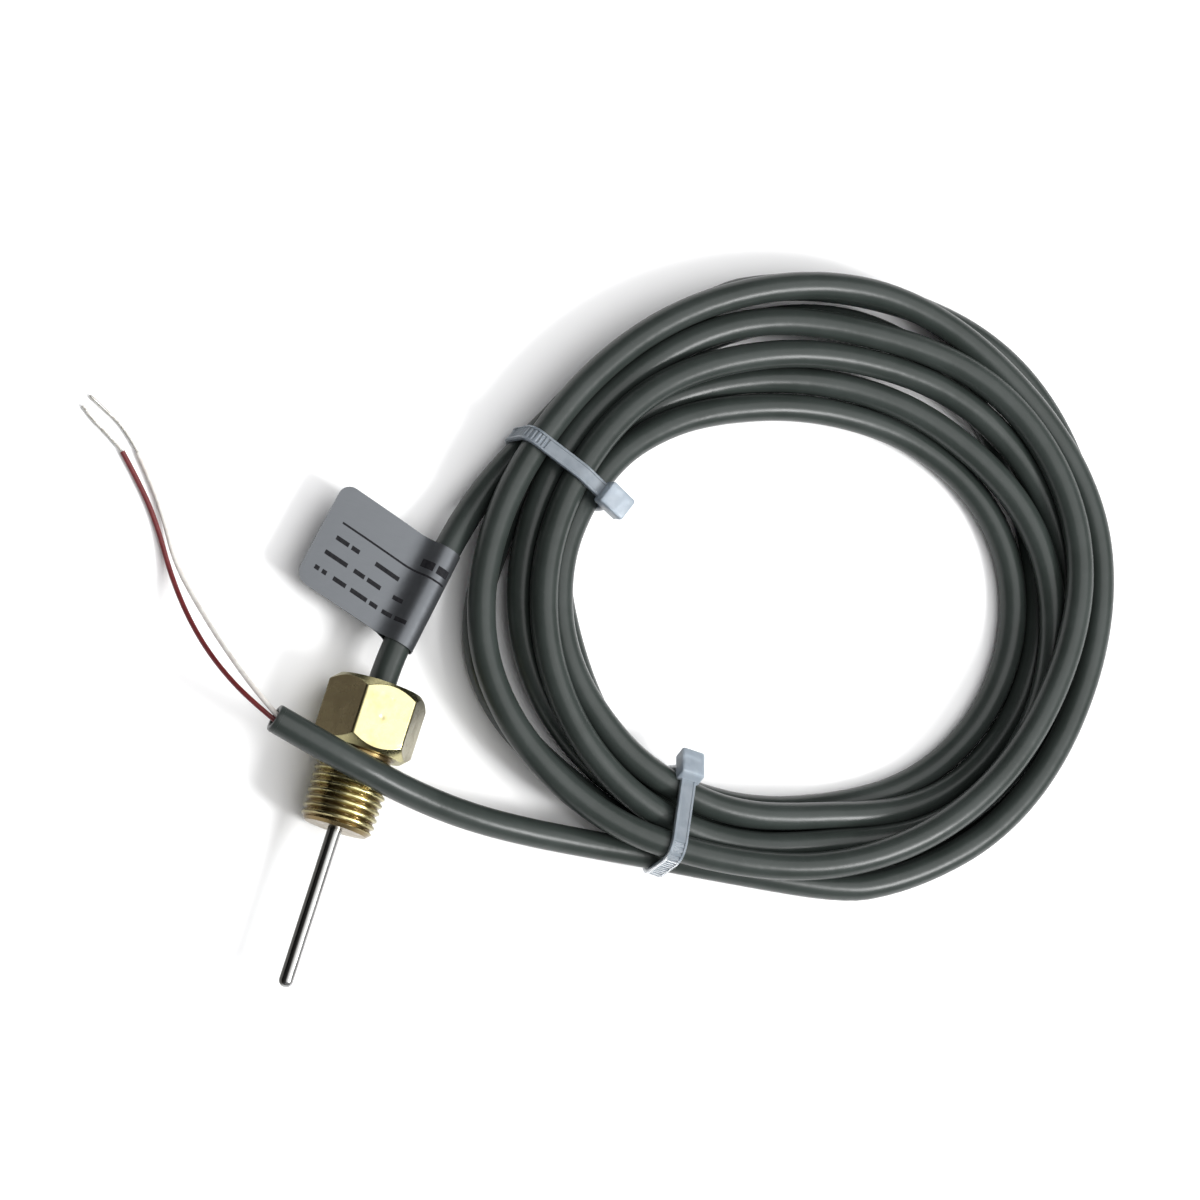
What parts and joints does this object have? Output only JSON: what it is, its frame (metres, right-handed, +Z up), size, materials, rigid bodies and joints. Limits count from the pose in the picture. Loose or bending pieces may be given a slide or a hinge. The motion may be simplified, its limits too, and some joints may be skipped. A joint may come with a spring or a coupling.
{
  "type": "screw-in temperature probe",
  "caption": "Brass screw-in temperature probe with a thin stainless sheath, hexagon, taper pipe thread and a coiled grey cable ending in bare leads.",
  "frame": {"origin": "on the table, under the middle of the bounding box of the fitting and its probe", "axes": "+Y along the fitting from the probe's tip to the cable exit, +Z up from the hexagon flat that it lies on, +X towards the coil"},
  "size_m": [0.1957, 0.1582, 0.021],
  "materials": {
    "brass": "machined, slightly dulled",
    "stainless": "drawn tube, polished",
    "solder": "cast",
    "ceramic": "sintered",
    "platinum": "thin film",
    "glass_cap": "fired glaze",
    "copper": "drawn wire",
    "crimp": "tinned",
    "sleeve": "shrunk tube",
    "insulator": "smooth",
    "powder": "packed powder",
    "resin": "cast resin",
    "bush": "moulded",
    "cable_jacket": "satin extruded jacket",
    "core_red": "extruded",
    "core_white": "extruded",
    "tinned_wire": "stranded, tinned",
    "nylon": "natural, translucent",
    "foil": "satin foil label"
  },
  "bodies": {
    "root": {"fitting_body": "brass", "probe_sheath": "stainless", "solder_collar": "solder", "element_substrate": "ceramic", "element_film": "platinum", "element_glaze": "glass_cap", "element_lead_a": "platinum", "element_lead_b": "platinum", "lead_insulator_a": "insulator", "lead_insulator_b": "insulator", "tip_filling": "powder", "splice_crimp_a": "crimp", "splice_crimp_b": "crimp", "splice_sleeve_a": "sleeve", "splice_sleeve_b": "sleeve", "inner_conductor_red": "copper", "inner_conductor_white": "copper", "inner_core_red": "core_red", "inner_core_white": "core_white", "potting_resin": "resin", "cable_bush": "bush", "cable_end_in_fitting": "cable_jacket", "cable_lead": "cable_jacket", "cable_coil": "cable_jacket", "cable_tail": "cable_jacket", "core_red": "core_red", "core_white": "core_white", "tinned_end_red": "tinned_wire", "tinned_end_white": "tinned_wire", "tie_left": "nylon", "tie_bottom": "nylon", "label_flag": "foil"}
  },
  "joints": []
}
